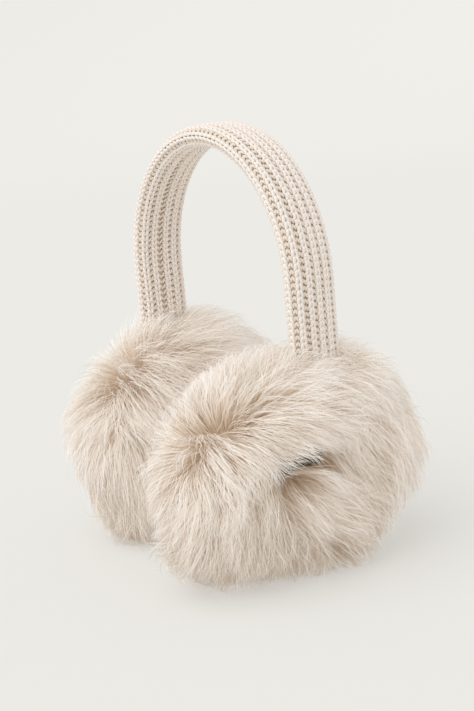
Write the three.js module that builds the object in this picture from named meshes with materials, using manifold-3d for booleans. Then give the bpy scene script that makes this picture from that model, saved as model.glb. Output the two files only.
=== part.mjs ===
// Fur earmuffs: a ribbed knit headband, bent in an arch, with a deep fur pad at each end.
// Millimetres. +X runs from ear to ear, towards the right pad; +Y is towards the back; +Z is up.
// The earmuffs stand on their two pads, and the origin is the middle of the base.
import * as THREE from 'three';
import { mergeVertices } from 'three/addons/utils/BufferGeometryUtils.js';
import Module from 'manifold-3d';

const wasm = await Module();
wasm.setup();

// ---------------------------------------------------------------- driving dimensions

const band = {
  width: 34, // front to back
  thickness: 12.5,
  roundness: 0.62, // power of the section's superellipse: 1 is an ellipse, 0 a rectangle
  sectionSides: 20,
  halfSpan: 70.3, // middle of one limb to the middle plane
  leavesFurAt: 129, // height at which the limbs come out of the pads
  springsAt: 167, // height at which the straight limbs start to bend
  topAt: 250, // height of the arch's centreline
  inPad: 21, // length of each limb that the pad hides
  behindMiddle: 14, // the pads stand mostly in front of the headband
  limbSteps: 6,
  archSteps: 44,
};

const socketGap = 0.3; // between a limb and the pad around it

const pad = {
  halfThickness: 47, // ear to ear
  halfHeight: 65, // the floor cuts the last few millimetres off flat
  heightOfMiddle: 61,
  fromMiddlePlane: 55,
  roundness: 0.93, // power of the superellipsoid: under 1 fills out its shoulders
  around: 40,
  upAndDown: 24,
};

// The pads are turned and crushed a little differently: each one's half depth from front to back, and
// how far its middle is behind the middle of the earmuffs.
const padDepth = {
  fur_pad_left: { half: 73, behind: 15 },
  fur_pad_right: { half: 82, behind: -1.5 },
};

// Lobes and hollows of the fur. A direction is seen from the pad's middle: out is away from the head,
// front is towards the face. Reach is an angle in degrees, lift is in millimetres.
const lobes = {
  fur_pad_left: [
    { name: 'crown behind the limb', out: 0.1, front: -0.5, up: 0.9, reach: 34, lift: 4 },
    { name: 'whorl on the head side', out: -0.9, front: 0.3, up: 0.35, reach: 30, lift: 3 },
    { name: 'hollow on the head side', out: -0.8, front: 0.55, up: -0.1, reach: 22, lift: -5 },
    { name: 'front tuft', out: 0.1, front: 0.95, up: 0.1, reach: 26, lift: 5 },
    { name: 'lower front lobe', out: -0.1, front: 0.7, up: -0.7, reach: 30, lift: 8 },
    { name: 'crown in front of the limb', out: -0.2, front: 0.6, up: 0.8, reach: 26, lift: 4 },
    { name: 'outer cheek', out: 0.9, front: 0.1, up: -0.1, reach: 40, lift: 2 },
  ],
  fur_pad_right: [
    { name: 'brow over the fold', out: 0.85, front: 0.3, up: 0.4, reach: 30, lift: 7 },
    { name: 'lobe under the fold', out: 0.9, front: -0.1, up: -0.5, reach: 28, lift: 5 },
    { name: 'tucked under in front', out: 0.5, front: 0.6, up: -0.8, reach: 30, lift: -9 },
    { name: 'front cheek', out: 0.35, front: 0.9, up: -0.15, reach: 32, lift: 5 },
    { name: 'lower front lobe', out: -0.2, front: 0.9, up: -0.4, reach: 28, lift: 7 },
    { name: 'crown behind the limb', out: 0.2, front: -0.5, up: 0.85, reach: 30, lift: 5 },
    { name: 'back cheek', out: 0.5, front: -0.85, up: 0.1, reach: 34, lift: 4 },
  ],
};

// Folds: the fur cover dips along an arc from one direction to another.
const folds = {
  fur_pad_left: [
    { name: 'head-side parting', reach: 13, depth: 4,
      from: { out: -0.8, front: 0.2, up: 0.7 }, to: { out: -0.9, front: 0.6, up: -0.1 } },
  ],
  fur_pad_right: [
    { name: 'deep fold', reach: 12, depth: 11,
      from: { out: 0.85, front: 0.55, up: -0.12 }, to: { out: 0.97, front: -0.2, up: 0.12 } },
    { name: 'parting above the whorl', reach: 12, depth: 4,
      from: { out: 0.6, front: 0.75, up: 0.45 }, to: { out: 0.85, front: 0.2, up: 0.5 } },
  ],
};

const material = {
  knit: new THREE.MeshStandardMaterial({ color: 0xe3d9cd, roughness: 0.9, metalness: 0 }),
  fur: new THREE.MeshStandardMaterial({ color: 0xddccbb, roughness: 0.95, metalness: 0 }),
};

// ---------------------------------------------------------------- solids

// The shared vertices of a closed geometry, merged so that only position is left.
function merged(geometry) {
  const bare = geometry.clone();
  bare.deleteAttribute('normal');
  bare.deleteAttribute('uv');
  return mergeVertices(bare, 1e-4);
}

function solidOf(geometry) {
  const { index, attributes } = merged(geometry);
  return new wasm.Manifold(new wasm.Mesh({
    numProp: 3,
    vertProperties: new Float32Array(attributes.position.array),
    triVerts: new Uint32Array(index.array),
  }));
}

function geometryOf(solid) {
  const mesh = solid.getMesh();
  const geometry = new THREE.BufferGeometry();
  geometry.setAttribute('position', new THREE.BufferAttribute(new Float32Array(mesh.vertProperties), 3));
  geometry.setIndex(new THREE.BufferAttribute(new Uint32Array(mesh.triVerts), 1));
  geometry.computeVertexNormals();
  return geometry;
}

const signedPower = (value, power) => Math.sign(value) * Math.abs(value) ** power;

// ---------------------------------------------------------------- headband

// The arch's centreline: two straight limbs, joined over the head by half an ellipse.
class ArchCurve extends THREE.Curve {
  constructor(inPad) {
    super();
    this.limb = band.springsAt - band.leavesFurAt + inPad;
    this.bend = Math.PI * (band.halfSpan + band.topAt - band.springsAt) / 2;
  }

  getPoint(t, target = new THREE.Vector3()) {
    const along = t * (2 * this.limb + this.bend);
    const fromEnd = Math.min(along, 2 * this.limb + this.bend - along);
    const side = along < this.limb + this.bend / 2 ? -1 : 1;
    if (fromEnd < this.limb) {
      return target.set(side * band.halfSpan, 0, band.springsAt - this.limb + fromEnd);
    }
    const angle = Math.PI * (fromEnd - this.limb) / this.bend;
    const rise = (band.topAt - band.springsAt) * Math.sin(angle);
    return target.set(side * band.halfSpan * Math.cos(angle), 0, band.springsAt + rise);
  }
}

// A ring of the band's rounded section at one place on the arch.
function sectionAt(point, tangent, grow) {
  const outward = new THREE.Vector3(-tangent.z, 0, tangent.x);
  const ring = [];
  for (let i = 0; i < band.sectionSides; i += 1) {
    const angle = 2 * Math.PI * i / band.sectionSides;
    const across = (band.width / 2 + grow) * signedPower(Math.cos(angle), band.roundness);
    const through = (band.thickness / 2 + grow) * signedPower(Math.sin(angle), band.roundness);
    ring.push(point.clone().addScaledVector(outward, through).setY(band.behindMiddle + across));
  }
  return ring;
}

// A closed skin over rings of equal length, with a flat cap on each end.
function skinOver(rings) {
  const sides = rings[0].length;
  const positions = rings.flat().flatMap((p) => [p.x, p.y, p.z]);
  const index = [];
  for (let r = 0; r < rings.length - 1; r += 1) {
    for (let i = 0; i < sides; i += 1) {
      const [a, b] = [r * sides + i, r * sides + (i + 1) % sides];
      index.push(a, b, b + sides, a, b + sides, a + sides);
    }
  }
  const last = (rings.length - 1) * sides;
  for (let i = 1; i < sides - 1; i += 1) {
    index.push(0, i + 1, i, last, last + i, last + i + 1);
  }
  const geometry = new THREE.BufferGeometry();
  geometry.setAttribute('position', new THREE.Float32BufferAttribute(positions, 3));
  geometry.setIndex(index);
  return geometry;
}

// The headband, or with grow over 0 the space that it needs in a pad.
function bandGeometry(grow) {
  const curve = new ArchCurve(band.inPad + grow);
  const steps = 2 * band.limbSteps + band.archSteps;
  curve.arcLengthDivisions = 20 * steps;
  const rings = [];
  for (let i = 0; i <= steps; i += 1) {
    rings.push(sectionAt(curve.getPointAt(i / steps), curve.getTangentAt(i / steps), grow));
  }
  return skinOver(rings);
}

// ---------------------------------------------------------------- pads

// A direction from the pad's middle, as a unit vector. Side is -1 on the left pad and 1 on the right.
const direction = ({ out, front, up }, side) => new THREE.Vector3(side * out, -front, up).normalize();

const bell = (angle, reachDegrees) => Math.exp(-((angle / THREE.MathUtils.degToRad(reachDegrees)) ** 2));

// The angle from a direction to the nearest point on the arc between two others.
function angleToArc(unit, from, to) {
  const steps = 12;
  let nearest = Math.PI;
  for (let i = 0; i <= steps; i += 1) {
    nearest = Math.min(nearest, unit.angleTo(from.clone().lerp(to, i / steps).normalize()));
  }
  return nearest;
}

function furLift(unit, name, side) {
  let lift = 0;
  for (const lobe of lobes[name]) {
    lift += lobe.lift * bell(unit.angleTo(direction(lobe, side)), lobe.reach);
  }
  for (const fold of folds[name]) {
    const angle = angleToArc(unit, direction(fold.from, side), direction(fold.to, side));
    lift -= fold.depth * bell(angle, fold.reach);
  }
  return lift;
}

// A ball swollen to the pad's rounded disc, then pushed in and out by its lobes and folds.
function padBody(name, side) {
  const geometry = merged(new THREE.SphereGeometry(1, pad.around, pad.upAndDown));
  const place = geometry.attributes.position;
  const middle = new THREE.Vector3(side * pad.fromMiddlePlane, padDepth[name].behind, pad.heightOfMiddle);
  const unit = new THREE.Vector3();
  for (let i = 0; i < place.count; i += 1) {
    unit.fromBufferAttribute(place, i).normalize();
    const reach = new THREE.Vector3(
      pad.halfThickness * signedPower(unit.x, pad.roundness),
      padDepth[name].half * signedPower(unit.y, pad.roundness),
      pad.halfHeight * signedPower(unit.z, pad.roundness),
    );
    reach.addScaledVector(unit, furLift(unit, name, side));
    reach.add(middle);
    place.setXYZ(i, reach.x, reach.y, reach.z);
  }
  return geometry;
}

// Everything under the floor, which cuts a pad's base flat where it rests.
function underFloor() {
  const size = 6 * pad.halfHeight;
  return solidOf(new THREE.BoxGeometry(size, size, size).translate(0, 0, -size / 2));
}

function padGeometry(name, side) {
  const socket = solidOf(bandGeometry(socketGap));
  return geometryOf(solidOf(padBody(name, side)).subtract(socket).subtract(underFloor()));
}

// ---------------------------------------------------------------- earmuffs

function piece(name, geometry, finish) {
  const mesh = new THREE.Mesh(geometry, finish);
  mesh.name = name;
  return mesh;
}

const earmuffs = new THREE.Group();
earmuffs.add(
  piece('knit_headband', bandGeometry(0), material.knit),
  piece('fur_pad_left', padGeometry('fur_pad_left', -1), material.fur),
  piece('fur_pad_right', padGeometry('fur_pad_right', 1), material.fur),
);

export default earmuffs;
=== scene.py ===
# %% [markdown]
# # Fur earmuffs
# Two deep fur pads on a ribbed knit headband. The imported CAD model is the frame: it says how big each
# piece is and where it sits. This file gives the pieces their looks, one step to a cell. Everything is
# in metres, +X runs from ear to ear, +Y is towards the back of the head and +Z is up.

# %% Load the frame
import math

import bpy
import numpy as np
from mathutils import Matrix, Vector
from mathutils.bvhtree import BVHTree
from mathutils.kdtree import KDTree


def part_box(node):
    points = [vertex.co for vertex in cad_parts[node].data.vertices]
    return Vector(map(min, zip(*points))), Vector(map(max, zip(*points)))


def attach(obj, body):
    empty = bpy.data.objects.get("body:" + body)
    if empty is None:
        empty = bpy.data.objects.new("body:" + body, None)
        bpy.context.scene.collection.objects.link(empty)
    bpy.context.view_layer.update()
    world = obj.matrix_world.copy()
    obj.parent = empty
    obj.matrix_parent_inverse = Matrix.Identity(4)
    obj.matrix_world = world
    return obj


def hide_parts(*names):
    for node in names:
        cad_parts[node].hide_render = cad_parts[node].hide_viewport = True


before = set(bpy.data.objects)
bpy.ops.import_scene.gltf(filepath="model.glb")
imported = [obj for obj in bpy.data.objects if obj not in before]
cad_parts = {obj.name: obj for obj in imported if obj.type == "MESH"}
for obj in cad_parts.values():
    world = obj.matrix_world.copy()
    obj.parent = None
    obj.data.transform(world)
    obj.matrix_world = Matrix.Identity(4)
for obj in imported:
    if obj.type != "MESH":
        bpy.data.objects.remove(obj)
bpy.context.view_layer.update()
MM = 0.001
band_low, band_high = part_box("knit_headband")
print("frame nodes:", sorted(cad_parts))

# %% [markdown]
# ## Camera
# A product shot from a little above, turned so that one pad stands in front of the other. The camera is
# placed by its angles and its distance, and the lens is long, so that the near pad isn't swollen. A small
# roll of the camera lets the earmuffs lean a few degrees.

# %% Camera
VIEW = {"azimuth": 51.1, "elevation": 12.5, "roll": -5.4, "distance": 0.8565, "lens": 71.4}
AIM_SIDEWAYS = 0.0003
AIM_BELOW_TOP = 0.1405


def camera_axes():
    """Right, up and back of the camera, as unit vectors."""
    turn, lift, roll = (math.radians(VIEW[name]) for name in ("azimuth", "elevation", "roll"))
    back = Vector((math.sin(turn) * math.cos(lift), -math.cos(turn) * math.cos(lift), math.sin(lift)))
    level = Vector((math.cos(turn), math.sin(turn), 0))
    upright = back.cross(level)
    right = level * math.cos(roll) + upright * math.sin(roll)
    return level, right, back.cross(right), back


level, right, up, back = camera_axes()
aim = Vector((0, (band_low.y + band_high.y) / 2, band_high.z - AIM_BELOW_TOP)) + level * AIM_SIDEWAYS
camera_data = bpy.data.cameras.new("camera")
camera_data.lens = VIEW["lens"]
camera_data.clip_start = 0.05
camera = bpy.data.objects.new("camera", camera_data)
bpy.context.scene.collection.objects.link(camera)
camera.matrix_world = Matrix((
    (right.x, up.x, back.x, 0), (right.y, up.y, back.y, 0), (right.z, up.z, back.z, 0), (0, 0, 0, 1)
))
camera.location = aim + back * VIEW["distance"]
bpy.context.scene.camera = camera
print("camera at", [round(value, 3) for value in camera.location])

# %% [markdown]
# ## Shader maths in plain Python
# A material is a graph of nodes. Written node by node it is long and hard to read, so this small class
# wraps a socket, and + and * on it add Math nodes, with a plain number on either side. One method adds any
# other node.

# %% A socket that can be reckoned with


class Shade:
    """A value, colour or vector in a material, on which Python's own operators work."""

    def __init__(self, tree, socket):
        self.tree = tree
        self.socket = socket

    def node(self, kind, settings=None, out=0, **inputs):
        """Adds a node, with its settings first and then its inputs, and returns one of its outputs."""
        node = self.tree.nodes.new(kind)
        for name, value in (settings or {}).items():
            if name == "stops":
                set_stops(node.color_ramp, value)
            else:
                setattr(node, name, value)
        for name, value in inputs.items():
            self.feed(node.inputs[int(name[1:]) if name[1:].isdigit() else name.replace("_", " ")], value)
        return Shade(self.tree, node.outputs[out])

    def feed(self, socket, value):
        if isinstance(value, Shade):
            self.tree.links.new(value.socket, socket)
        elif value is not None:
            socket.default_value = value

    def maths(self, operation, first, second=None):
        return self.node("ShaderNodeMath", {"operation": operation}, i0=first, i1=second)

    def __add__(self, other):
        return self.maths("ADD", self, other)

    def __mul__(self, other):
        return self.maths("MULTIPLY", self, other)

    __radd__ = __add__
    __rmul__ = __mul__


def set_stops(ramp, stops):
    """Gives a colour ramp its stops, each a position and a colour."""
    while len(ramp.elements) < len(stops):
        ramp.elements.new(1)
    for element, (position, colour) in zip(ramp.elements, stops):
        element.position = position
        element.color = (*colour, 1)


def new_material(name, **constants):
    """A material whose Principled shader has these constants, with the graph to build on."""
    material = bpy.data.materials.new(name)
    material.use_nodes = True
    shader = material.node_tree.nodes["Principled BSDF"]
    for socket, value in constants.items():
        shader.inputs[socket.replace("_", " ")].default_value = value
    return material, Shade(material.node_tree, None), shader


print("shader maths is ready")

# %% [markdown]
# ## Stage and light
# The floor is one pale dish: flat under the earmuffs, and rising far behind them, so that no horizon shows.
# It is pale paper that also glows a little, which keeps it even, as a lit backdrop is. A bright sky lights
# the fur from all round, as a light tent does, and one wide softbox gives it a gentle direction, from above
# and in front.

# %% Floor
FLOOR_RADIUS = 2.4
RIM_RADIUS = 1.4
RIM_ANGLE = 75  # degrees that the rim turns up by
FLOOR_SEGMENTS = 96
FLAT_STEPS = 6
RIM_STEPS = 16

profile = [(FLOOR_RADIUS * step / FLAT_STEPS, 0) for step in range(1, FLAT_STEPS + 1)]
for step in range(1, RIM_STEPS + 1):
    angle = math.radians(RIM_ANGLE) * step / RIM_STEPS
    profile.append((FLOOR_RADIUS + RIM_RADIUS * math.sin(angle), RIM_RADIUS * (1 - math.cos(angle))))
bpy.ops.mesh.primitive_circle_add(vertices=FLOOR_SEGMENTS, radius=profile[0][0], fill_type="TRIFAN")
floor = bpy.context.object
floor.name = "floor"
bpy.ops.object.mode_set(mode="EDIT")
for (inner, _), (outer, _) in zip(profile, profile[1:]):
    bpy.ops.mesh.select_all(action="DESELECT")
    bpy.ops.mesh.select_mode(type="EDGE")
    bpy.ops.mesh.select_non_manifold()
    bpy.ops.mesh.extrude_region_move()
    bpy.ops.transform.resize(value=(outer / inner, outer / inner, 1), center_override=(0, 0, 0))
bpy.ops.object.mode_set(mode="OBJECT")
heights = dict((round(radius, 4), height) for radius, height in profile)
for vertex in floor.data.vertices:
    vertex.co.z = heights.get(round(math.hypot(vertex.co.x, vertex.co.y), 4), 0)
bpy.ops.object.shade_smooth()
floor_paint, _, _ = new_material(
    "floor_paper", Base_Color=(0.42, 0.416, 0.40, 1), Roughness=0.9, Specular_IOR_Level=0.0,
    Emission_Color=(0.83, 0.822, 0.79, 1), Emission_Strength=0.5
)
floor.data.materials.append(floor_paint)
print("floor:", len(floor.data.polygons), "faces")

# %% Light
SKY = (1.0, 0.995, 0.985)
SKY_STRENGTH = 0.66
SUN_STRENGTH = 1.35
SUN_SOFTNESS = 70  # degrees across, as a wide overhead softbox
SUN_FROM = (0.0, -0.8, 1.0)

world = bpy.data.worlds.new("studio")
bpy.context.scene.world = world
world.use_nodes = True
world.node_tree.nodes["Background"].inputs["Color"].default_value = (*SKY, 1)
world.node_tree.nodes["Background"].inputs["Strength"].default_value = SKY_STRENGTH
softbox = bpy.data.lights.new("softbox", "SUN")
softbox.energy = SUN_STRENGTH
softbox.angle = math.radians(SUN_SOFTNESS)
lamp = bpy.data.objects.new("softbox", softbox)
bpy.context.scene.collection.objects.link(lamp)
lamp.rotation_euler = Vector(SUN_FROM).to_track_quat("Z", "Y").to_euler()
bpy.context.scene.view_settings.view_transform = "Standard"
print("sky", SKY_STRENGTH, "and softbox", SUN_STRENGTH)

# %% [markdown]
# ## The headband's line and section
# The band follows two straight limbs and half an ellipse over the head. A point on its skin is named by
# how far it is along that line, how far round the section, and how high it stands off the skin. With one
# function from those three numbers to a place in space, anything knitted flat can be wrapped on the band.

# %% The band's surface
BAND_THICKNESS = 12.5 * MM
LIMB_LENGTH = 59 * MM
SECTION_POWER = 0.62
KNIT_INSET = 0.9 * MM  # the middle of the yarn lies this far inside the outer form
TANGENT_REACH = 0.4 * MM  # a line's direction is taken from points this far ahead and behind
LINE_STEPS = 600
SECTION_STEPS = 1440
OVERLAP = 40  # steps by which the closed section runs past its seam, so that it has a direction there
half_span = band_high.x - BAND_THICKNESS / 2
springs_at = band_low.z + LIMB_LENGTH
arch_rise = band_high.z - BAND_THICKNESS / 2 - springs_at
band_middle_y = (band_low.y + band_high.y) / 2


def signed_power(value, power):
    return np.sign(value) * np.abs(value) ** power


def measured(points):
    """The distance along a line of points, up to each of them."""
    steps = np.linalg.norm(np.diff(points, axis=0), axis=1)
    return np.concatenate([[0], np.cumsum(steps)])


arch_angles = np.linspace(math.pi, 0, LINE_STEPS)
arch_line = np.stack([
    np.concatenate([[-half_span], half_span * np.cos(arch_angles), [half_span]]),
    np.concatenate([[band_low.z], springs_at + arch_rise * np.sin(arch_angles), [band_low.z]]),
], 1)
arch_along = measured(arch_line)
arch_length = arch_along[-1]

section_angles = np.linspace(0, 2 * math.pi, SECTION_STEPS + 1)
section_line = np.stack([
    ((band_high.y - band_low.y) / 2 - KNIT_INSET) * signed_power(np.cos(section_angles), SECTION_POWER),
    (BAND_THICKNESS / 2 - KNIT_INSET) * signed_power(np.sin(section_angles), SECTION_POWER),
], 1)
section_along = measured(section_line)
section_length = section_along[-1]


def along_line(line, at, where):
    """Points and unit tangents of a line at these distances along it."""
    def read(distance):
        return np.stack([np.interp(distance, at, line[:, k]) for k in (0, 1)], -1)

    place = read(where)
    tangent = read(where + TANGENT_REACH) - read(where - TANGENT_REACH)
    return place, tangent / np.maximum(np.linalg.norm(tangent, axis=-1, keepdims=True), 1e-9)


def on_band(along, around, lift):
    """Places on the band's skin. Around starts at the back edge and crosses the outer face first."""
    middle, run = along_line(arch_line, arch_along, np.clip(along, 0, arch_length))
    closed_line = np.concatenate([section_line[-OVERLAP:-1], section_line, section_line[1:OVERLAP]])
    closed_at = np.concatenate([
        section_along[-OVERLAP:-1] - section_length, section_along, section_along[1:OVERLAP] + section_length
    ])
    spot, heading = along_line(closed_line, closed_at, np.mod(around, section_length))
    across = spot[..., 0] + lift * heading[..., 1]
    through = spot[..., 1] - lift * heading[..., 0]
    return np.stack([
        middle[..., 0] - run[..., 1] * through,
        band_middle_y + across,
        middle[..., 1] + run[..., 0] * through,
    ], -1)


print(f"band: {arch_length / MM:.0f} mm long, {section_length / MM:.0f} mm round")

# %% [markdown]
# ## Mesh helpers
# Thousands of small things, such as stitches and hairs, are far quicker to make as one joined mesh than as
# objects. One small pattern is modelled, and this helper copies its faces as often as needed.

# %% Joined copies
UV_MAPS = ("pattern", "OFBake")  # the finish reads the first, and the second is the same map, named OFBake


def joined_copies(name, pattern_faces, points, uv):
    """One mesh of many copies. Points are copies x corners x 3, and uv says where each corner is in the
    pattern of the material."""
    copies, corners, _ = points.shape
    sizes = np.array([len(face) for face in pattern_faces])
    loops = np.concatenate([np.array(face) for face in pattern_faces])
    all_loops = (loops[None] + np.arange(copies)[:, None] * corners).reshape(-1)
    mesh = bpy.data.meshes.new(name)
    mesh.vertices.add(copies * corners)
    mesh.vertices.foreach_set("co", points.reshape(-1).astype(np.float32))
    mesh.loops.add(len(all_loops))
    mesh.loops.foreach_set("vertex_index", all_loops.astype(np.int32))
    starts = np.concatenate([[0], np.cumsum(np.tile(sizes, copies))[:-1]])
    mesh.polygons.add(len(starts))
    mesh.polygons.foreach_set("loop_start", starts.astype(np.int32))
    mesh.polygons.foreach_set("use_smooth", np.ones(len(starts), bool))
    mesh.update(calc_edges=True)
    corner_uv = uv.reshape(-1, 2)[all_loops].reshape(-1).astype(np.float32)
    for name_of_map in UV_MAPS:
        mesh.uv_layers.new(name=name_of_map)
        mesh.uv_layers[name_of_map].data.foreach_set("uv", corner_uv)
    made = bpy.data.objects.new(name, mesh)
    bpy.context.scene.collection.objects.link(made)
    return made


def triangles(made):
    return sum(len(face.vertices) - 2 for face in made.data.polygons)


def deselect_all():
    for chosen in list(bpy.context.selected_objects):
        chosen.select_set(False)


print("joined copies are ready")

# %% [markdown]
# ## Yarn
# The yarn is a soft, pale beige ply. Its colour hardly changes, and what the eye reads as yarn is the twist:
# fine slanted ridges that catch the light. The ridges are bumps, with painted shade between them, and the
# yarn also glows faintly in its own colour, as painted light. The twist follows each stitch, so it is drawn
# on the stitch's own map, along and round the yarn.

# %% Yarn material
TWISTS = 3.0  # turns of the ply along one piece of yarn
PLIES = 2.0


def yarn_material(name, colour, shade):
    """Twisted yarn: slanted plies with painted shade between them, a fuzzy sheen and a faint painted glow.
    """
    material, graph, shader = new_material(
        name, Roughness=0.92, Specular_IOR_Level=0.15, Sheen_Weight=0.1, Sheen_Roughness=0.5,
        Emission_Strength=0.06
    )
    place = graph.node("ShaderNodeUVMap", {"uv_map": "pattern"})
    axes = graph.node("ShaderNodeSeparateXYZ", None, 0, i0=place)
    around = Shade(graph.tree, axes.socket.node.outputs[1])
    slant = axes * TWISTS + around * PLIES
    ply = graph.maths("SINE", slant * (2 * math.pi), 0) * 0.5 + 0.5
    fibres = graph.node("ShaderNodeTexNoise", None, 0, Vector=place, Scale=26.0, Detail=3.0)
    # Towards the shade colour between the plies: painted shade.
    mixed = graph.node(
        "ShaderNodeMix", {"data_type": "RGBA"}, 2,
        i0=ply * 0.7 + fibres * 0.3, i6=(*shade, 1), i7=(*colour, 1)
    )
    graph.feed(shader.inputs["Base Color"], mixed)
    # The yarn glows faintly in its own colour: painted light that brightens it.
    graph.feed(shader.inputs["Emission Color"], mixed)
    bump = graph.node("ShaderNodeBump", None, 0, Strength=0.35, Distance=0.0003, Height=ply + fibres * 0.5)
    graph.feed(shader.inputs["Normal"], bump)
    return material


rib_yarn = yarn_material("rib_yarn", (0.94, 0.885, 0.84), (0.84, 0.76, 0.69))
# The channel yarn is the rib yarn painted darker: painted shade for the sunken channels.
shaded_channel_yarn = yarn_material("shaded_channel_yarn", (0.93, 0.845, 0.76), (0.77, 0.66, 0.56))
print("yarn materials:", rib_yarn.name, shaded_channel_yarn.name)

# %% [markdown]
# ## Knit headband
# A one-by-one rib: columns of raised V stitches with sunken channels between them. It could be a bump
# pattern, but a rib this coarse has a real outline, so each leg of each stitch is a short piece of yarn.
# One leg is modelled from a cylinder: cut into rings, so that it can bend, and then copied along every
# column. The channels hold flatter bars that lean together in a zigzag, in yarn painted darker as their
# shade.

# %% One piece of yarn


def yarn_pattern(sides, rings):
    """A cylinder cut into rings: its corners as (how far along, angle round) and its faces."""
    bpy.ops.mesh.primitive_cylinder_add(vertices=sides, radius=1, depth=1, end_fill_type="NGON")
    pattern = bpy.context.object
    bpy.ops.object.mode_set(mode="EDIT")
    for ring in range(1, rings):
        bpy.ops.mesh.select_all(action="SELECT")
        bpy.ops.mesh.bisect(plane_co=(0, 0, ring / rings - 0.5), plane_no=(0, 0, 1))
    bpy.ops.object.mode_set(mode="OBJECT")
    corners = np.array([vertex.co for vertex in pattern.data.vertices])
    faces = [tuple(face.vertices) for face in pattern.data.polygons]
    bpy.data.objects.remove(pattern)
    return corners[:, 2] + 0.5, np.arctan2(corners[:, 1], corners[:, 0]), faces


LEG = yarn_pattern(6, 5)
BAR = yarn_pattern(5, 3)
print("leg:", len(LEG[2]), "faces, bar:", len(BAR[2]), "faces")

# %% The lie of the ribs
ROW_HEIGHT = 3.7 * MM
COLUMN_WIDTH = 4.3
# The sunken channels' widths in millimetres, in order round the band: the back edge, the outer face, the
# front edge and the inner face.
CHANNELS = [
    {"place": "back edge", "width": 2.6},
    {"place": "outer", "width": 2.4},
    {"place": "outer", "width": 2.4},
    {"place": "outer", "width": 2.4},
    {"place": "outer", "width": 3.2},
    {"place": "front edge", "width": 2.8},
    {"place": "front edge, inner", "width": 2.2},
    {"place": "inner", "width": 2.4},
    {"place": "inner", "width": 4.6},
    {"place": "inner", "width": 2.2},
    {"place": "inner", "width": 2.6},
]
widths = np.array([row["width"] for row in CHANNELS])
scale = section_length / (widths.sum() + COLUMN_WIDTH * len(widths))
channel_widths = widths * scale
starts = np.concatenate([[0], np.cumsum(widths + COLUMN_WIDTH)[:-1]]) * scale - channel_widths[0] / 2
channel_middles = starts + channel_widths / 2
column_middles = starts + channel_widths + COLUMN_WIDTH * scale / 2
rows = int(arch_length / ROW_HEIGHT)
row_height = arch_length / rows
print(f"{len(widths)} columns of {rows} stitches")

# %% Wrap the yarn on the band


def wrap_yarn(name, pattern, paths, radii, material):
    """Lays copies of a piece of yarn along paths of (along, around, lift), and joins them."""
    share, angle, faces = pattern
    steps = paths.shape[1] - 1
    lower = np.minimum((share * steps).astype(int), steps - 1)
    part = (share * steps - lower)[None, :, None]
    middle = paths[:, lower] * (1 - part) + paths[:, lower + 1] * part
    heading = paths[:, lower + 1] - paths[:, lower]
    heading /= np.linalg.norm(heading, axis=-1, keepdims=True)
    sideways = np.stack([-heading[..., 1], heading[..., 0], np.zeros(heading.shape[:-1])], -1)
    sideways /= np.linalg.norm(sideways, axis=-1, keepdims=True)
    outward = np.cross(heading, sideways)
    radius = np.interp(share, np.linspace(0, 1, len(radii)), radii)[None, :, None]
    cosine, sine = np.cos(angle)[None, :, None], np.sin(angle)[None, :, None]
    flat = middle + radius * (sideways * cosine + outward * sine)
    points = on_band(flat[..., 0], flat[..., 1], flat[..., 2])
    uv = np.broadcast_to(np.stack([share, angle / (2 * math.pi) + 0.5], -1), points.shape[:2] + (2,))
    made = joined_copies(name, faces, points, uv)
    made.data.materials.append(material)
    return made


def stitch_grid(middles, seed):
    """Every place of a stitch: its column, how far along it is, and the random numbers for the rest."""
    random = np.random.default_rng(seed)
    column, row = np.meshgrid(np.arange(len(middles)), np.arange(rows), indexing="ij")
    column, row = column.reshape(-1), row.reshape(-1)
    shift = random.normal(0, 0.5, len(middles))[column]
    along = (row + 0.5 + 0.5 * shift) * row_height
    return column, along, random


print("places for a stitch:", len(column_middles) * rows)

# %% [markdown]
# ### The inside of the sleeve
# Between the stitches the eye sees into the sleeve. A plain skin under the yarn closes it: a flat grid,
# wrapped round the band as the stitches are, welded along its seam and capped at both ends. Its colour is
# painted shade, darker than the yarn.

# %% The inside of the sleeve
CORE_AROUND, CORE_ALONG = 48, 120
CORE_INSET = 1.5 * MM
WELD = 0.02 * MM


def sleeve_core():
    """A grid wrapped round the band, a little under the stitches."""
    bpy.ops.mesh.primitive_grid_add(x_subdivisions=CORE_ALONG, y_subdivisions=CORE_AROUND, size=1)
    core = bpy.context.object
    core.name = "knit_core"
    flat = np.array([vertex.co for vertex in core.data.vertices])
    place = on_band((flat[:, 0] + 0.5) * arch_length, (flat[:, 1] + 0.5) * section_length, -CORE_INSET)
    core.data.vertices.foreach_set("co", place.reshape(-1))
    bpy.ops.object.mode_set(mode="EDIT")
    bpy.ops.mesh.select_all(action="SELECT")
    bpy.ops.mesh.remove_doubles(threshold=WELD)
    bpy.ops.mesh.select_all(action="DESELECT")
    bpy.ops.mesh.select_mode(type="EDGE")
    bpy.ops.mesh.select_non_manifold()
    bpy.ops.mesh.fill_holes(sides=0)
    bpy.ops.mesh.select_all(action="SELECT")
    bpy.ops.mesh.normals_make_consistent(inside=False)
    bpy.ops.object.mode_set(mode="OBJECT")
    bpy.ops.object.shade_smooth()
    return core


deselect_all()
# The skin's colour is painted shade, a dim warm beige seen between the stitches.
sleeve_shade_paint, _, _ = new_material("sleeve_shadow", Base_Color=(0.79, 0.67, 0.565, 1), Roughness=1.0,
                               Specular_IOR_Level=0.0)
knit_core = sleeve_core()
knit_core.data.materials.clear()
knit_core.data.materials.append(sleeve_shade_paint)
print("sleeve:", triangles(knit_core), "triangles")

# %% [markdown]
# ### The ribs
# A V stitch has two legs, which start together and spread as they go up. Each leg rises out of the knit
# and dips again under the foot of the next, and it is longer than a row, so that the column is unbroken.

# %% The ribs
LEG_LENGTH = 1.4  # rows
LEG_FOOT = 0.45 * MM  # from the column's middle to a leg's lower end
LEG_SPREAD = 1.15 * MM
LEG_SINK = 0.95 * MM
LEG_RISE = 1.4 * MM
LEG_POINTS = 6


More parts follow.
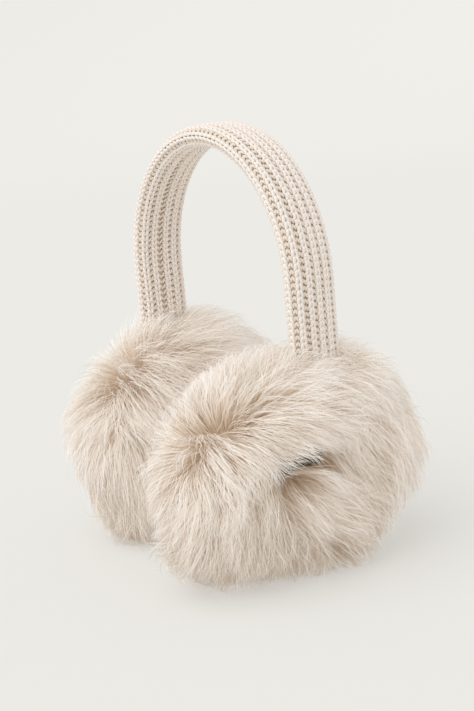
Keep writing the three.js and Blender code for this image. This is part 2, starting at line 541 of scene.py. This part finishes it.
def rib_legs():
    column, along, random = stitch_grid(column_middles, 11)
    share = np.linspace(0, 1, LEG_POINTS)
    paths = []
    for side in (-1, 1):
        uneven = random.normal(0, 0.09 * MM, (len(along), 3))
        path = np.zeros((len(along), LEG_POINTS, 3))
        path[..., 0] = along[:, None] + row_height * LEG_LENGTH * (share - 0.5) + uneven[:, :1]
        bow = LEG_FOOT + LEG_SPREAD * share
        path[..., 1] = column_middles[column][:, None] + side * bow + uneven[:, 1:2]
        path[..., 2] = LEG_RISE * np.sin(math.pi * share ** 0.9) - LEG_SINK + 0.5 * uneven[:, 2:]
        paths.append(path)
    radii = np.array([0.55, 0.88, 1.0, 1.0, 0.88, 0.55]) * MM
    return wrap_yarn("knit_ribs", LEG, np.concatenate(paths), radii, rib_yarn)


knit_ribs = rib_legs()
print("ribs:", triangles(knit_ribs), "triangles")

# %% [markdown]
# ### The channels
# Between two ribs the knit shows its other side: flat bars, two to a row, which slant inwards and meet in
# the middle of the channel. They lie deeper than the ribs and take less light, and their yarn is also
# painted darker, as shade.

# %% The channels
BAR_SINK = 0.70 * MM
BAR_SAG = 0.25 * MM
BAR_POINTS = 4


def channel_bars():
    column, along, random = stitch_grid(channel_middles, 12)
    half = channel_widths[column] / 2
    share = np.linspace(0, 1, BAR_POINTS)
    paths = []
    for side in (-1, 1):
        uneven = random.normal(0, 0.12 * MM, (len(along), 3))
        path = np.zeros((len(along), BAR_POINTS, 3))
        path[..., 0] = along[:, None] + row_height * (0.35 - 0.75 * share) + uneven[:, :1]
        path[..., 1] = channel_middles[column][:, None] + side * half[:, None] * (1.15 - 1.1 * share)
        path[..., 2] = 0.4 * uneven[:, 2:] - BAR_SINK - BAR_SAG * np.cos(2 * math.pi * share)
        paths.append(path)
    radii = np.array([0.7, 0.88, 0.88, 0.7]) * MM
    return wrap_yarn("knit_channels", BAR, np.concatenate(paths), radii, shaded_channel_yarn)


knit_channels = channel_bars()
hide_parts("knit_headband")
for knitted in (knit_core, knit_ribs, knit_channels):
    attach(knitted, "root")
print("channels:", triangles(knit_channels), "triangles")

# %% [markdown]
# ## How fur lies
# A fur pad is a round cushion under a pelt. The hair doesn't stand straight up: it is combed, it falls
# away from whorls and partings, it hangs, and it gathers in pointed locks. So the hair is steered by a
# short table for each pad. A parting is a line that hair falls away from, and a comb is a place where it
# lies a certain way. Directions are told from the pad's middle: out is away from the head, front is
# towards the face, and up is up.

# %% The combs
RIGHT_COMBS = [
    {"name": "crown, front", "at": (0.2, 0.6, 0.8), "lie": (-0.4, -0.6, 0.7), "reach": 22, "pull": 1.0},
    {"name": "crown, back", "at": (0.5, 0.2, 0.8), "lie": (0.2, -1.0, 0.0), "reach": 26, "pull": 1.2},
    {"name": "top back", "at": (0.5, -0.2, 0.8), "lie": (0.1, -0.9, -0.4), "reach": 28, "pull": 1.0},
    {"name": "brow", "at": (0.9, 0.1, 0.4), "lie": (0.1, -0.8, -0.5), "reach": 28, "pull": 1.5},
    {"name": "brow, front", "at": (0.7, 0.5, 0.4), "lie": (0.4, -0.7, -0.6), "reach": 16, "pull": 1.5},
    {"name": "swirl", "at": (0.5, 0.8, 0.3), "lie": (0.3, -0.2, -0.9), "reach": 12, "pull": 1.6},
    {"name": "back cheek", "at": (0.6, -0.8, 0.0), "lie": (-0.3, -0.6, -0.7), "reach": 35, "pull": 1.0},
    {"name": "over the fold", "at": (0.8, 0.3, 0.6), "lie": (0.3, -0.9, -0.3), "reach": 18, "pull": 2.0},
    {"name": "below the fold", "at": (0.9, 0.1, -0.4), "lie": (0.0, -0.9, -0.4), "reach": 30, "pull": 1.7},
    {"name": "front, low", "at": (0.0, 1.0, -0.2), "lie": (-0.7, -0.1, -0.7), "reach": 28, "pull": 1.2},
    {"name": "cheek, low", "at": (0.4, 0.8, -0.4), "lie": (-0.8, 0.3, -0.6), "reach": 28, "pull": 1.8},
    {"name": "back, low", "at": (0.4, -0.5, -0.8), "lie": (-0.3, -0.3, -0.7), "reach": 35, "pull": 1.0},
    {"name": "head side", "at": (-0.9, 0.2, 0.1), "lie": (-0.1, 0.3, -0.9), "reach": 50, "pull": 0.8},
    {"name": "nape side", "at": (-0.3, -0.9, 0.0), "lie": (0.0, -0.2, -1.0), "reach": 45, "pull": 0.8},
]
LEFT_COMBS = [
    {"name": "tuft", "at": (0.3, 0.9, 0.4), "lie": (0.5, 0.1, 0.3), "reach": 14, "pull": 0.8},
    {"name": "front", "at": (-0.4, 0.9, 0.0), "lie": (0.0, 0.1, -1.0), "reach": 34, "pull": 1.1},
    {"name": "front, low", "at": (-0.1, 0.9, -0.4), "lie": (0.2, -0.2, -0.9), "reach": 34, "pull": 1.1},
    {"name": "head side", "at": (-0.5, 0.6, 0.6), "lie": (-0.5, -0.3, -0.8), "reach": 26, "pull": 1.0},
    {"name": "head side, low", "at": (-0.7, 0.7, 0.2), "lie": (-0.1, -0.1, -1.0), "reach": 40, "pull": 1.0},
    {"name": "crown, inner", "at": (-0.4, 0.3, 0.9), "lie": (-0.3, -0.9, 0.0), "reach": 28, "pull": 1.0},
    {"name": "crown, back", "at": (-0.4, -0.1, 0.9), "lie": (0.0, -1.0, -0.1), "reach": 28, "pull": 1.0},
    {"name": "outer cheek", "at": (0.9, 0.2, 0.1), "lie": (0.0, -0.4, -0.9), "reach": 50, "pull": 0.9},
    {"name": "back", "at": (-0.1, -0.9, 0.1), "lie": (0.0, -0.3, -0.9), "reach": 45, "pull": 0.9},
]
print("combs:", len(RIGHT_COMBS), "on the right pad and", len(LEFT_COMBS), "on the left")

# %% [markdown]
# ### Partings, tufts and the fold
# Hair falls away from a parting or a whorl on both sides. A tuft is a place where it grows longer and stands
# up, and where its extra is less than nothing it lies flat, tucked in. The near pad's fold is a line bare of
# hair, where the cover's dip is not modelled and its shade is painted dark on the backing.

# %% The pads
PADS = {
    "right": {
        "node": "fur_pad_right",
        "side": 1,
        "seed": 21,
        "tufts": [
            {"name": "brow end", "at": (0.4, -0.9, 0.1), "reach": 11, "extra": 8},
            {"name": "crown", "at": (0.4, -0.5, 0.8), "reach": 12, "extra": 5},
            {"name": "front, low", "at": (-0.2, 0.9, -0.4), "reach": 16, "extra": 4},
            {"name": "tucked in under the brow", "at": (0.3, -0.8, -0.5), "reach": 24, "extra": -9},
        ],
        "fold": [(0.7, 0.7, 0.2), (0.9, 0.5, 0.3), (1.0, -0.1, 0.2)],
        "partings": [
            {"name": "cheek whorl", "line": [(0.0, 0.9, 0.4), (0.2, 0.9, 0.5)], "reach": 32, "pull": 1.6},
            {"name": "along the brow", "line": [(0.2, 0.9, 0.5), (0.5, 0.4, 0.8)], "reach": 16, "pull": 1.2},
            {"name": "under the fold", "line": [(0.8, 0.6, 0.0), (0.9, 0.4, 0.0)], "reach": 18, "pull": 1.3},
        ],
        "combs": RIGHT_COMBS,
    },
    "left": {
        "node": "fur_pad_left",
        "side": -1,
        "seed": 22,
        "tufts": [
            {"name": "front", "at": (0.3, 0.9, 0.4), "reach": 11, "extra": 14},
            {"name": "tucked in under the front tuft", "at": (0.3, 0.9, 0.0), "reach": 16, "extra": -6},
            {"name": "crown", "at": (0.0, 0.0, 1.0), "reach": 14, "extra": 8},
            {"name": "crown, front", "at": (0.1, 0.6, 0.8), "reach": 18, "extra": 9},
            {"name": "front, low", "at": (0.2, 0.8, -0.6), "reach": 20, "extra": 9},
        ],
        "fold": None,
        "partings": [
            {"name": "head-side whorl", "line": [(0.1, 0.6, 0.8)], "reach": 30, "pull": 1.4},
            {"name": "front tuft", "line": [(-0.3, 0.9, 0.3)], "reach": 20, "pull": 1.0},
        ],
        "combs": LEFT_COMBS,
    },
}


POINTS_PER_SPAN = 8
HANG = 0.15  # all hair leans down by this much, as against a comb's pull of about 1


def unit(vectors):
    return vectors / np.maximum(np.linalg.norm(vectors, axis=-1, keepdims=True), 1e-9)


def line_points(line):
    """A polyline of directions, filled in, as unit vectors."""
    ends = np.array(line, float)
    if len(ends) == 1:
        return unit(ends)
    share = np.linspace(0, 1, POINTS_PER_SPAN)[:, None]
    return unit(np.concatenate([start * (1 - share) + end * share for start, end in zip(ends, ends[1:])]))


def nearest_on(points, directions):
    """For each direction, the nearest of some points and the angle to it, in degrees."""
    cosines = directions @ points.T
    best = cosines.argmax(1)
    angle = np.degrees(np.arccos(np.clip(cosines[np.arange(len(best)), best], -1, 1)))
    return points[best], angle


def lie_of_hair(pad, directions):
    """The way hair is combed at each direction from the pad's middle, not yet laid on the skin."""
    total = np.zeros_like(directions)
    total[:, 2] -= HANG
    for parting in pad["partings"]:
        origin, angle = nearest_on(line_points(parting["line"]), directions)
        away = unit(directions - origin * (directions * origin).sum(1, keepdims=True))
        total += away * (parting["pull"] * np.exp(-((angle / parting["reach"]) ** 2)))[:, None]
    for comb in pad["combs"]:
        _, angle = nearest_on(line_points([comb["at"]]), directions)
        weight = comb["pull"] * np.exp(-((angle / comb["reach"]) ** 2))
        total += unit(np.array(comb["lie"]))[None] * weight[:, None]
    return total


print("partings:", {name: len(pad["partings"]) for name, pad in PADS.items()})

# %% [markdown]
# ## The pelt
# The pelt is the skin that the hair grows from. It is found from the frame: a ray towards the pad's middle
# meets the outer form of the fur, and the pelt lies a fur's depth inside. In the deep fold there is no hair,
# and the backing there is painted near-black, as the fold's shade, so that it shows dark between the locks.

# %% The pelt's form
FUR_DEPTH = 16 * MM
TABLE_TURNS, TABLE_RISES = 120, 61
RAY_START = 0.3  # metres from the pad's middle, which is well outside the pad
SLOT_REACH = 22  # degrees round the limb's slot that are smoothed over
SLOT_BLUR = 0.03


def to_world(pad, local):
    return np.stack([local[..., 0] * pad["side"], -local[..., 1], local[..., 2]], -1) + pad["middle"]


def reach_table(pad):
    """How far it is from the pad's middle to the outer form of the fur, on a grid of directions. A ray
    comes in along each. The slot that the limb stands in is smoothed over."""
    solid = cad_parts[pad["node"]].data
    tree = BVHTree.FromPolygons(
        [vertex.co for vertex in solid.vertices], [tuple(face.vertices) for face in solid.polygons]
    )
    turn, rise = np.meshgrid(
        np.linspace(-math.pi, math.pi, TABLE_TURNS + 1), np.linspace(-math.pi / 2, math.pi / 2, TABLE_RISES)
    )
    ways = np.stack([np.cos(rise) * np.cos(turn), np.cos(rise) * np.sin(turn), np.sin(rise)], -1)
    ways = ways.reshape(-1, 3)
    table = np.zeros(len(ways))
    for index, way in enumerate(to_world(pad, ways) - pad["middle"]):
        start = Vector(pad["middle"] + RAY_START * way)
        _, _, _, distance = tree.ray_cast(start, Vector(-way))
        table[index] = RAY_START - distance
    slot = Vector((half_span - abs(pad["middle"][0]), pad["middle"][1] - band_middle_y, pad["half"][2]))
    angle = np.degrees(np.arccos(np.clip(ways @ np.array(slot.normalized()), -1, 1)))
    for index in np.flatnonzero(angle < SLOT_REACH):
        near = np.exp(-((ways - ways[index]) ** 2).sum(1) / SLOT_BLUR) * (angle >= SLOT_REACH)
        table[index] = (near * table).sum() / near.sum()
    return table.reshape(turn.shape)


def outer_reach(pad, directions):
    """The reach in any direction, read from the table between its four nearest entries."""
    turn = (np.arctan2(directions[..., 1], directions[..., 0]) / (2 * math.pi) + 0.5) * TABLE_TURNS
    rise = (np.arcsin(np.clip(directions[..., 2], -1, 1)) / math.pi + 0.5) * (TABLE_RISES - 1)
    left = np.clip(turn.astype(int), 0, TABLE_TURNS - 1)
    low = np.clip(rise.astype(int), 0, TABLE_RISES - 2)
    across, along = turn - left, rise - low
    table = pad["table"]
    under = table[low, left] * (1 - across) + table[low, left + 1] * across
    over = table[low + 1, left] * (1 - across) + table[low + 1, left + 1] * across
    return under * (1 - along) + over * along


def pelt_normal(pad, local):
    return unit(local / (pad["half"] - FUR_DEPTH) ** 2)


def pelt_point(pad, directions):
    return directions * (outer_reach(pad, directions) - FUR_DEPTH)[:, None]


for pad in PADS.values():
    low_corner, high_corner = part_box(pad["node"])
    pad["middle"] = np.array((low_corner + high_corner) / 2)
    pad["half"] = np.array((high_corner - low_corner) / 2)
    pad["table"] = reach_table(pad)
for name, pad in PADS.items():
    print(f"{name} pad: {pad['table'].min() / MM:.0f} to {pad['table'].max() / MM:.0f} mm from its middle")

# %% Pelts
# The fold's painted shade fades out between these angles.
FOLD_ENDS = 16.8  # degrees from the fold's line to where the backing is all tan again
FOLD_FADE = 8


def pelt_piece(name, pad):
    bpy.ops.mesh.primitive_uv_sphere_add(segments=72, ring_count=40, radius=1)
    pelt = bpy.context.object
    pelt.name = name
    directions = unit(np.array([vertex.co for vertex in pelt.data.vertices]))
    pelt.data.vertices.foreach_set("co", to_world(pad, pelt_point(pad, directions)).reshape(-1))
    bpy.ops.object.mode_set(mode="EDIT")
    bpy.ops.mesh.select_all(action="SELECT")
    bpy.ops.mesh.vertices_smooth(factor=0.5, repeat=3)
    bpy.ops.mesh.normals_make_consistent(inside=False)
    bpy.ops.object.mode_set(mode="OBJECT")
    bpy.ops.object.shade_smooth()
    # How far each point lies into the fold's painted shade, from 0 outside to 1 in its middle.
    depth = np.zeros(len(directions))
    if pad["fold"] is not None:
        _, angle = nearest_on(line_points(pad["fold"]), directions)
        depth = np.clip((FOLD_ENDS - angle) / FOLD_FADE, 0, 1)
    fold = pelt.data.attributes.new("fold", "FLOAT", "POINT")
    fold.data.foreach_set("value", depth.astype(np.float32))
    return pelt


def pelt_material():
    """Woven backing: tan between the hairs, and near-black patches of painted shade in the fold."""
    material, graph, shader = new_material("fur_backing", Roughness=1.0, Specular_IOR_Level=0.1)
    place = graph.node("ShaderNodeTexCoord", None, 3)
    weave = graph.node("ShaderNodeTexNoise", None, 0, Vector=place, Scale=900.0, Detail=3.0)
    tan = graph.node("ShaderNodeValToRGB", {"stops": [
        (0.3, (0.72, 0.60, 0.48)), (0.7, (0.87, 0.77, 0.66))
    ]}, 0, i0=weave)
    # Near-black in patches: the fold's painted shade.
    fold_shade = graph.node("ShaderNodeValToRGB", {"stops": [
        (0.4, (0.012, 0.010, 0.008)), (0.6, (0.16, 0.13, 0.10))
    ]}, 0, i0=graph.node("ShaderNodeTexNoise", None, 0, Vector=place, Scale=420.0, Detail=2.0))
    fold = graph.node("ShaderNodeAttribute", {"attribute_name": "fold"}, 2)
    colour = graph.node("ShaderNodeMix", {"data_type": "RGBA"}, 2, i0=fold, i6=tan, i7=fold_shade)
    graph.feed(shader.inputs["Base Color"], colour)
    bump = graph.node("ShaderNodeBump", None, 0, Strength=0.5, Distance=0.0005, Height=weave)
    graph.feed(shader.inputs["Normal"], bump)
    return material


backing = pelt_material()
for name, pad in PADS.items():
    deselect_all()
    pelt = pelt_piece(f"pelt_{name}", pad)
    pelt.data.materials.clear()
    pelt.data.materials.append(backing)
    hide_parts(pad["node"])
    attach(pelt, "root")
    print(pelt.name, triangles(pelt), "triangles")

# %% [markdown]
# ## Hair colour
# Each hair is warm tan at the root, beige in its length and nearly white at its tip, and some hairs are
# paler than others. The map of each hair holds its own tone across and the way from root to tip up, so
# the material needs nothing else. Light scatters through pale hair many times, which a few flat ribbons
# lose, so a part of the shader is translucent and each hair glows faintly in its own colour.

# %% Fur material


def fur_material():
    material, graph, shader = new_material(
        "fur", Roughness=0.75, Specular_IOR_Level=0.25, Sheen_Weight=0.2, Sheen_Roughness=0.4,
        Emission_Strength=0.11
    )
    place = graph.node("ShaderNodeUVMap", {"uv_map": "pattern"})
    tone = graph.node("ShaderNodeSeparateXYZ", None, 0, i0=place)
    along = Shade(graph.tree, tone.socket.node.outputs[1])
    length = graph.node("ShaderNodeValToRGB", {"stops": [
        (0.0, (0.68, 0.54, 0.40)), (0.3, (0.84, 0.74, 0.63)), (0.6, (0.98, 0.945, 0.905)),
        (1.0, (1.0, 0.99, 0.975)),
    ]}, 0, i0=along)
    pale = graph.node(
        "ShaderNodeMix", {"data_type": "RGBA", "blend_type": "MULTIPLY"}, 2,
        i0=1.0, i6=length,
        i7=graph.node("ShaderNodeValToRGB", {"stops": [
            (0.0, (0.60, 0.51, 0.42)), (0.5, (0.94, 0.92, 0.90)), (1.0, (1.0, 1.0, 1.0)),
        ]}, 0, i0=tone)
    )
    graph.feed(shader.inputs["Base Color"], pale)
    graph.feed(shader.inputs["Emission Color"], pale)
    through = graph.node("ShaderNodeBsdfTranslucent", None, 0, Color=(0.97, 0.93, 0.88, 1))
    surface = Shade(graph.tree, shader.outputs[0])
    glow = graph.node("ShaderNodeMixShader", None, 0, i0=0.2, i1=surface, i2=through)
    graph.feed(graph.tree.nodes["Material Output"].inputs["Surface"], glow)
    return material


fur_finish = fur_material()
print("fur material:", fur_finish.name)

# %% [markdown]
# ## Growing the fur
# A hair is a narrow ribbon with a pointed tip: four spans are enough to bend it, and it costs seven
# triangles. Hairs are grown a step at a time. Each starts off the skin, turns into the lie of the comb
# and then hangs a little. Hairs of one lock then draw together towards their tips, which is what makes
# fur look like fur and not like grass.

# %% Roots
HAIRS_PER_PIECE = 26000
PIECES_PER_PAD = 2
SPANS = 4
HAIR_LENGTH = 40 * MM
HAIR_WIDTH = 0.29 * MM
FOLD_GAP = 11.0  # degrees from the fold's line to the first roots
FOLD_RAGGED = 2.2


def roots_on(pad, count, random):
    """Roots spread evenly over the pelt, clear of the fold, as directions from the pad's middle."""
    chosen = []
    got = 0
    half = pad["half"] - FUR_DEPTH
    while got < count:
        directions = unit(random.normal(size=(count, 3)))
        place = directions * half
        spread = (np.linalg.norm(place / half ** 2, axis=1) * half.prod()) / (half.max() ** 2)
        keep = random.random(count) < spread
        directions = unit(place[keep])
        if pad["fold"] is not None:
            _, angle = nearest_on(line_points(pad["fold"]), directions)
            directions = directions[angle > FOLD_GAP + random.normal(0, FOLD_RAGGED, len(directions))]
        chosen.append(directions)
        got += len(directions)
    return np.concatenate(chosen)[:count]


print(f"{HAIRS_PER_PIECE * PIECES_PER_PAD} hairs on a pad, {HAIR_LENGTH / MM:.0f} mm long")

# %% Locks and tufts
LOCK_SIZE = 3.7 * MM
TUFT_SIZE = 11 * MM


def groups_of(points, spacing, random):
    """Gathers points round scattered centres: for each point, the index of its centre's own point."""
    order = random.permutation(len(points))
    taken = set()
    centres = []
    for index in order:
        cell = tuple(np.floor(points[index] / spacing).astype(int))
        if cell not in taken:
            taken.add(cell)
            centres.append(index)
    tree = KDTree(len(centres))
    for number, index in enumerate(centres):
        tree.insert(Vector(points[index]), number)
    tree.balance()
    return np.array([centres[tree.find(Vector(point))[1]] for point in points])


def tuft_share(pad, directions):
    """How much longer hair grows in each direction, near the pad's bushy tufts."""
    extra = np.zeros(len(directions))
    for tuft in pad["tufts"]:
        _, angle = nearest_on(line_points([tuft["at"]]), directions)
        extra += tuft["extra"] * MM * np.exp(-((angle / tuft["reach"]) ** 2))
    return extra


print(f"locks about {LOCK_SIZE / MM:.1f} mm across, tufts about {TUFT_SIZE / MM:.0f} mm")

# %% [markdown]
# ### What makes each hair different
# Hairs of a tuft lean the same way, hairs of a lock more so, and each hair a little by itself. A few are
# guard hairs: longer, paler and straighter, and free of their lock. Over the fold the hair is short, and
# at a whorl it stands up.

# %% Unevenness
STRAY = {"tuft": 0.26, "lock": 0.14, "hair": 0.14}
STAND = {"mean": 1.15, "tuft": 0.22, "lock": 0.10}
LENGTH_SPREAD = 0.10
OVER_FOLD = {"reach": 20, "shorter": 0.68}
AT_WHORL = {"reach": 11, "stand": 1.5}
TUFT_LENGTH = 0.6  # share of a tuft's extra that goes into the hair's length
TUFT_STAND = 9 * MM  # extra that makes hair stand by one more


def stance(pad, root, lock, tuft, random):
    """Each hair's stray from the comb, how much it stands off the skin, its length and its tuft's extra."""
    count = len(root)
    way = unit(root)
    stray = STRAY["tuft"] * random.normal(size=root.shape)[tuft]
    stray += STRAY["lock"] * random.normal(size=root.shape)[lock]
    stray += STRAY["hair"] * random.normal(size=root.shape)
    stand = STAND["mean"] + STAND["tuft"] * random.normal(size=count)[tuft]
    stand += STAND["lock"] * random.normal(size=count)[lock]
    length = 1 + LENGTH_SPREAD * (random.normal(size=count)[tuft] + random.normal(size=count))
    length *= HAIR_LENGTH
    if pad["fold"] is not None:
        nearest, angle = nearest_on(line_points(pad["fold"]), way)
        above = np.exp(-((angle / OVER_FOLD["reach"]) ** 2)) * (way[:, 2] > nearest[:, 2])
        length *= 1 - OVER_FOLD["shorter"] * above
    for parting in pad["partings"]:
        _, angle = nearest_on(line_points(parting["line"]), way)
        stand += AT_WHORL["stand"] * np.exp(-((angle / AT_WHORL["reach"]) ** 2))
    bushy = tuft_share(pad, way)
    return stray, stand + bushy / TUFT_STAND, length + bushy * TUFT_LENGTH, bushy


print("stray of tuft, lock and hair:", list(STRAY.values()))

# %% Tones
TONE = {"mean": 0.58, "hair": 0.36, "lock": 0.10, "tuft": 0.08, "guard": 0.25}
# Painted shade: hair on the underside is darker, and its hairs differ more, as shade near the floor.
SHADED_BELOW = 75 * MM  # the underside is duller, and its hairs differ more
SHADED = {"all": 0.3, "hair": 1.0}


def tones(pad, root, lock, tuft, guard, random):
    """How pale each hair is, from 0 to 1, with painted shade on hairs low on the pad."""
    count = len(root)
    tone = TONE["mean"] + TONE["hair"] * random.normal(size=count)
    tone += TONE["lock"] * random.normal(size=count)[lock]
    tone += TONE["tuft"] * random.normal(size=count)[tuft] + TONE["guard"] * guard
    # Painted shade: hairs low on the pad are darker, some much more than others.
    low = np.clip(1 - to_world(pad, root)[:, 2] / SHADED_BELOW, 0, 1)
    tone -= low * (SHADED["all"] + SHADED["hair"] * random.random(count))
    return np.clip(tone, 0, 1)


print("middle tone:", TONE["mean"])

# %% [markdown]
# ### Growing a pad's hair
# Four steps make a hair. At each the comb is asked again, because the hair has moved on. The tips then
# gather in locks, and what would pass the outer form of the fur too far is drawn in softly.

# %% A pad's hair
SPILL = 12 * MM  # how far the tips stand out of the outer form
LEAST_SPILL = 2 * MM
SOFT_FROM = 2 * MM  # hair is drawn in from this far under the outer form
GUARD = {"share": 0.12, "longer": 1.12, "stand": 0.25, "spill": 3 * MM}
CURL = {"all": 0.12, "guard": 0.1}
DRAWN = {"all": 0.38, "guard": -0.28, "spread": 0.22, "most": 0.9}
TIP_HANG = 0.25


def combed(pad, place, stray):
    """The way hair lies at these places: the comb with each hair's own stray, laid on the pelt."""
    skin = pelt_normal(pad, place)
    lie = unit(lie_of_hair(pad, unit(place))) + stray
    return skin, unit(lie - skin * (lie * skin).sum(1, keepdims=True))


def within_reach(pad, line, spill):
    """Draws in what passes the outer form of the fur, so that only the tips stand proud of it."""
    distance = np.linalg.norm(line, axis=-1, keepdims=True)
    ways = line / distance
    beyond = np.maximum(distance - outer_reach(pad, ways)[..., None] + SOFT_FROM, 0)
    return ways * (distance - beyond + spill * np.tanh(beyond / spill))


def grow(pad, count, random):
    """The hairs' lines, as count x steps x 3 in the pad's own directions, with each one's tone."""
    root = pelt_point(pad, roots_on(pad, count, random))
    lock = groups_of(root, LOCK_SIZE, random)
    tuft = groups_of(root, TUFT_SIZE, random)
    stray, stand, length, bushy = stance(pad, root, lock, tuft, random)
    guard = random.random(count) < GUARD["share"]
    length *= np.where(guard, GUARD["longer"], 1.0)
    stand += GUARD["stand"] * guard
    curl = (CURL["all"] + CURL["guard"] * guard)[:, None] * random.normal(size=(count, 3))
    line = np.zeros((count, SPANS + 1, 3))
    line[:, 0] = root
    for step in range(SPANS):
        way = (step + 0.5) / SPANS
        skin, lie = combed(pad, line[:, step], stray + curl * way)
        heading = skin * np.clip(stand * (1.15 - way), 0.08, None)[:, None] + lie
        heading[:, 2] -= TIP_HANG * way
        line[:, step + 1] = line[:, step] + unit(heading) * (length / SPANS)[:, None]
    share = (np.linspace(0, 1, SPANS + 1) ** 1.3)[None, :, None]
    drawn = (DRAWN["all"] + DRAWN["guard"] * guard)[:, None, None]
    drawn = drawn + DRAWN["spread"] * random.normal(size=(count, 1, 1))
    line += (line[lock] - line) * share * np.clip(drawn, 0.0, DRAWN["most"])
    spill = SPILL * (1 + 0.3 * random.normal(size=count)[tuft]).clip(0.4, 1.6) + bushy
    spill = np.maximum(spill, LEAST_SPILL) + GUARD["spill"] * guard
    line = within_reach(pad, line, spill[:, None, None])
    return line, pelt_normal(pad, root), tones(pad, root, lock, tuft, guard, random)


print(f"tips stand up to {SPILL / MM:.0f} mm out of the fur's form, and more in a tuft")

# %% [markdown]
# ### Clear of the floor and the headband
# Hair is pressed flat where the earmuffs stand, and it parts round the headband's limbs. Both are simple
# moves of points: up to just over the floor, or out to the nearest face of the limb.

# %% Clear of the floor and the headband
FLOOR_GAP = 0.6 * MM
FLATTENED = 0.04  # share of a hair's depth under the floor that is left, as thickness of the pressed layer
BAND_GAP = 1.0 * MM


def clear_of_floor(line):
    """Hair that would go through the floor lies along it instead."""
    pressed = FLOOR_GAP + FLATTENED * np.abs(line[..., 2])
    line[..., 2] = np.where(line[..., 2] < FLOOR_GAP, pressed, line[..., 2])
    return line


def clear_of_band(line):
    """Hair that would run inside a limb is pushed to its nearest face."""
    half_x = BAND_THICKNESS / 2 + BAND_GAP
    half_y = (band_high.y - band_low.y) / 2 + BAND_GAP
    for side in (-1, 1):
        across = line[..., 0] - side * half_span
        along = line[..., 1] - band_middle_y
        inside = (np.abs(across) < half_x) & (np.abs(along) < half_y) & (line[..., 2] > band_low.z)
        by_x = (half_x - np.abs(across)) < (half_y - np.abs(along))
        line[..., 0] = np.where(inside & by_x, side * half_span + np.sign(across) * half_x, line[..., 0])
        line[..., 1] = np.where(inside & ~by_x, band_middle_y + np.sign(along) * half_y, line[..., 1])
    return line


print(f"pressed hair lies {FLOOR_GAP / MM:.1f} mm over the floor")

# %% [markdown]
# ### Ribbons
# Each line becomes a flat ribbon that faces outwards, turned a little at random so that the light breaks
# up, full at a third of its length and ending in a point. Pale hairs are also the thicker ones.

# %% Ribbons
TURN_SPREAD = 0.6  # radians
TAPER_AT = (0, 0.3, 0.7, 1)
TAPER = (0.9, 1.0, 0.72, 0)


def ribbons(name, line, skin, tone, random):
    """Joined ribbons along the hairs' lines: wide at the root, pointed at the tip, faces outwards."""
    heading = np.gradient(line, axis=1)
    across = unit(np.cross(heading, skin[:, None, :]) + 1e-6)
    facing = unit(np.cross(across, heading))
    turn = random.normal(0, TURN_SPREAD, (len(line), 1, 1))
    across = across * np.cos(turn) + facing * np.sin(turn)
    thickness = 0.75 + 0.5 * tone[:, None, None] + 0.25 * random.normal(size=(len(line), 1, 1))
    widths = HAIR_WIDTH * np.interp(np.linspace(0, 1, SPANS + 1), TAPER_AT, TAPER)[None, :, None]
    widths = widths * np.clip(thickness, 0.5, 1.9)
    edges = (line - across * widths / 2, line + across * widths / 2)
    points = np.stack(edges, 2).reshape(len(line), 2 * SPANS + 2, 3)[:, :-1]
    along = np.repeat(np.linspace(0, 1, SPANS + 1), 2)[:-1]
    uv = np.stack([np.broadcast_to(tone[:, None], points.shape[:2]),
                   np.broadcast_to(along[None], points.shape[:2])], -1)
    faces = [(2 * k, 2 * k + 1, 2 * k + 3, 2 * k + 2) for k in range(SPANS - 1)]
    faces.append((2 * SPANS - 2, 2 * SPANS - 1, 2 * SPANS))
    made = joined_copies(name, faces, points, uv)
    made.data.materials.append(fur_finish)
    return made


for name, pad in PADS.items():
    for number in range(PIECES_PER_PAD):
        random = np.random.default_rng(pad["seed"] + 100 * number)
        hair, skin, tone = grow(pad, HAIRS_PER_PIECE, random)
        hair = clear_of_band(clear_of_floor(to_world(pad, hair)))
        skin = to_world(pad, skin) - pad["middle"]
        fur = ribbons(f"fur_{name}_{number + 1}", hair, skin, tone, random)
        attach(fur, "root")
        print(fur.name, triangles(fur), "triangles")
